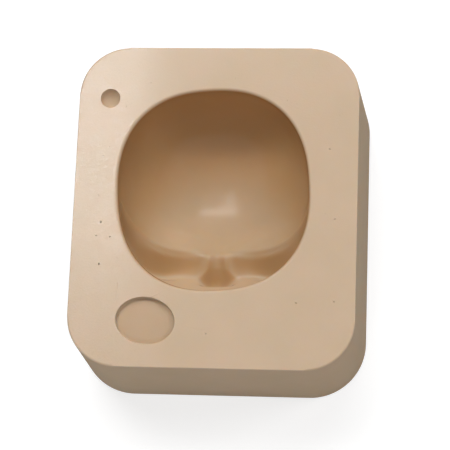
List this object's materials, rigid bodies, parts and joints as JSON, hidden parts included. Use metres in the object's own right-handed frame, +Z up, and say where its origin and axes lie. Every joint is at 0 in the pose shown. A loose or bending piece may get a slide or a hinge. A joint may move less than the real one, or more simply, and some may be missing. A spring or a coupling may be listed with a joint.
{
  "type": "face silicone mould",
  "caption": "Soft rubber casting mould: a round-cornered block with leaning sides and, in its top, a deep hollow shaped as the front of a doll's head, for clay or resin.",
  "frame": {"origin": "centre of the flat base, on the surface that the block stands on", "axes": "+Z up, out of the mouth of the face cavity; +Y along the block's length, towards the top of the head; +X to the right of the face as it is looked at from above"},
  "size_m": [0.085, 0.0974, 0.04],
  "materials": {
    "silicone": "satin beige casting silicone, slightly mottled gloss on the flat top"
  },
  "bodies": {
    "root": {"mould_block": "silicone"}
  },
  "joints": []
}
